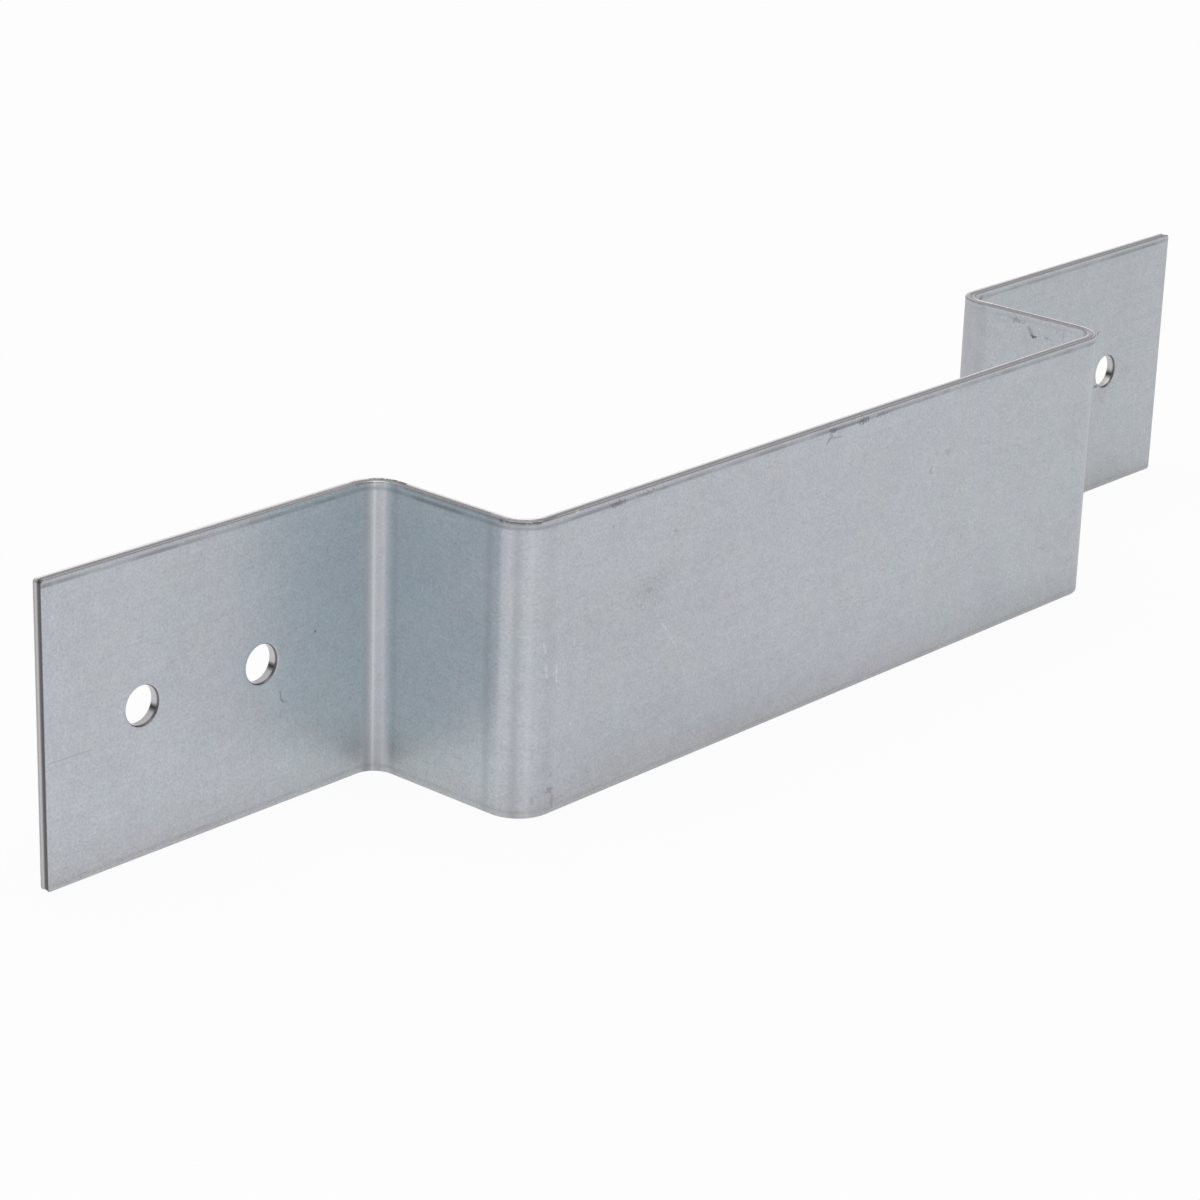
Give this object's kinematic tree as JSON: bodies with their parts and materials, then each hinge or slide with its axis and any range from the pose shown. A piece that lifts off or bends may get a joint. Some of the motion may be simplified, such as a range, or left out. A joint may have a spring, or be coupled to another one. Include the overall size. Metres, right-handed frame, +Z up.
{
  "type": "fence panel bracket",
  "caption": "Hat-shaped bracket folded from a strip of galvanised steel. Its channel wraps a concrete post and its punched flanges screw to a fence panel.",
  "frame": {"origin": "under the middle of the bracket's box, on the lower slit edge that it stands on", "axes": "+X along the bracket, +Y from the front plate to the flanges' backs, +Z up across the strip's width"},
  "size_m": [0.236, 0.0274, 0.04],
  "materials": {
    "galvanised_steel": "satin galvanised, bluish grey, with dull cut edges"
  },
  "bodies": {
    "root": {"bracket": "galvanised_steel"}
  },
  "joints": []
}
